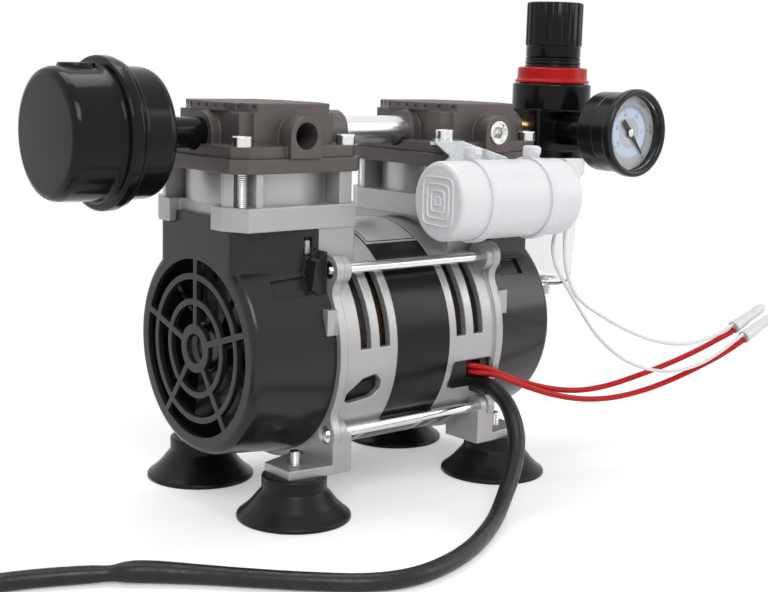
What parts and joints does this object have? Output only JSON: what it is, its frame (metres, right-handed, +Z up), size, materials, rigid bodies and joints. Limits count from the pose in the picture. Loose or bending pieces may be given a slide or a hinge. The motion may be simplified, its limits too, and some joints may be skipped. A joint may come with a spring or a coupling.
{
  "type": "rocking piston vacuum pump",
  "caption": "Oil-free electric vacuum pump: a motor between finned cylinder heads on suction feet, with silencer, filter regulator, vacuum gauge, run capacitor and mains lead.",
  "frame": {"origin": "floor level, midway between the four suction feet", "axes": "+X along the motor shaft from the silencer end to the regulator end, +Z up, -Y towards the side with the gauge and the cord"},
  "size_m": [0.5164, 0.2293, 0.2282],
  "materials": {
    "cast_alloy": "satin",
    "core_lacquer": "satin",
    "winding": "satin",
    "rotor_steel": "satin",
    "zinc_steel": "polished",
    "rod_steel": "polished",
    "foot_rubber": "satin",
    "cover_plastic": "satin",
    "head_casting": "satin",
    "tube_chrome": "polished",
    "black_housing": "gloss",
    "red_plastic": "gloss",
    "clear_bowl": "clear",
    "filter_white": "matte",
    "brass": "polished",
    "felt": "matte",
    "seal_rubber": "matte",
    "white_plastic": "satin",
    "dial_silver": "satin",
    "needle_black": "matte",
    "lens": "clear",
    "plate_silver": "satin",
    "black_plastic": "matte",
    "cord_black": "satin",
    "wire_red": "satin",
    "wire_white": "satin",
    "cap_white": "translucent"
  },
  "bodies": {
    "pump": {"end_frame_left": "cast_alloy", "end_frame_right": "cast_alloy", "stator_core": "core_lacquer", "stator_windings": "winding", "shaft_bearings": "rotor_steel", "tie_rods": "rod_steel", "suction_feet": "foot_rubber", "foot_studs": "zinc_steel", "cylinder_head_left": "head_casting", "cylinder_head_right": "head_casting", "cylinders": "cast_alloy", "valve_plates": "head_casting", "reed_valves": "rotor_steel", "head_screws": "zinc_steel", "transfer_tube": "tube_chrome", "port_plug": "zinc_steel", "fan_cover_left": "cover_plastic", "fan_cover_right": "cover_plastic", "silencer_can": "black_housing", "silencer_cap": "black_housing", "silencer_felt": "felt", "pipe_nipple": "brass", "regulator_body": "black_housing", "regulator_bonnet": "black_plastic", "regulator_ring_nut": "red_plastic", "regulator_spring": "zinc_steel", "filter_bowl": "clear_bowl", "filter_element": "filter_white", "gauge_case": "black_housing", "gauge_lens": "lens", "gauge_dial": "dial_silver", "gauge_movement": "brass", "run_capacitor": "white_plastic", "cable_ties": "white_plastic", "capacitor_bracket": "zinc_steel", "rating_plate": "plate_silver", "terminal_block": "black_plastic", "cord_grommet": "foot_rubber", "red_wire_a": "wire_red", "red_wire_b": "wire_red", "white_wire_a": "wire_white", "white_wire_b": "wire_white", "closed_end_joints": "cap_white", "power_cord": "cord_black", "power_cord_coil": "cord_black", "mains_plug": "cord_black"},
    "rotor": {"crankshaft": "rotor_steel", "rotor_core": "rotor_steel", "cooling_fan_left": "black_plastic", "cooling_fan_right": "black_plastic"},
    "conrod_left_body": {"conrod_left": "cast_alloy", "conrod_bearing_left": "rotor_steel", "piston_cup_left": "seal_rubber"},
    "conrod_right_body": {"conrod_right": "cast_alloy", "conrod_bearing_right": "rotor_steel", "piston_cup_right": "seal_rubber"},
    "adjuster": {"adjusting_screw": "zinc_steel"},
    "knob": {"regulator_knob": "black_plastic"},
    "needle": {"gauge_needle": "needle_black"},
    "drain": {"drain_cock": "filter_white"}
  },
  "joints": [
    {"name": "rotor_spin", "type": "hinge", "parent": "pump", "child": "rotor", "pos_m": [0, 0, 0.0709], "axis": [1, 0, 0], "continuous": true},
    {"name": "conrod_left_pivot", "type": "hinge", "parent": "rotor", "child": "conrod_left_body", "pos_m": [-0.056, 0, 0.0749], "axis": [1, 0, 0], "continuous": true},
    {"name": "conrod_right_pivot", "type": "hinge", "parent": "rotor", "child": "conrod_right_body", "pos_m": [0.056, 0, 0.0669], "axis": [1, 0, 0], "continuous": true},
    {"name": "adjuster_turn", "type": "hinge", "parent": "pump", "child": "adjuster", "pos_m": [0.1298, 0, 0.21], "axis": [0, 0, 1], "range_deg": [-540, 540]},
    {"name": "knob_lift", "type": "slide", "parent": "adjuster", "child": "knob", "axis": [0, 0, 1], "range_m": [0, 0.0025]},
    {"name": "needle_swing", "type": "hinge", "parent": "pump", "child": "needle", "pos_m": [0.1298, -0.053, 0.1644], "axis": [0, -1, 0], "range_deg": [0, 264], "stiffness_Nm_per_rad": 0.0001, "springref_deg": -28.65},
    {"name": "drain_turn", "type": "hinge", "parent": "pump", "child": "drain", "pos_m": [0.1298, 0, 0.08], "axis": [0, 0, 1], "range_deg": [0, 90]}
  ],
  "couplings": [
    {"joint": "conrod_left_pivot", "follows": "rotor_spin", "ratio": -1},
    {"joint": "conrod_right_pivot", "follows": "rotor_spin", "ratio": -1}
  ]
}
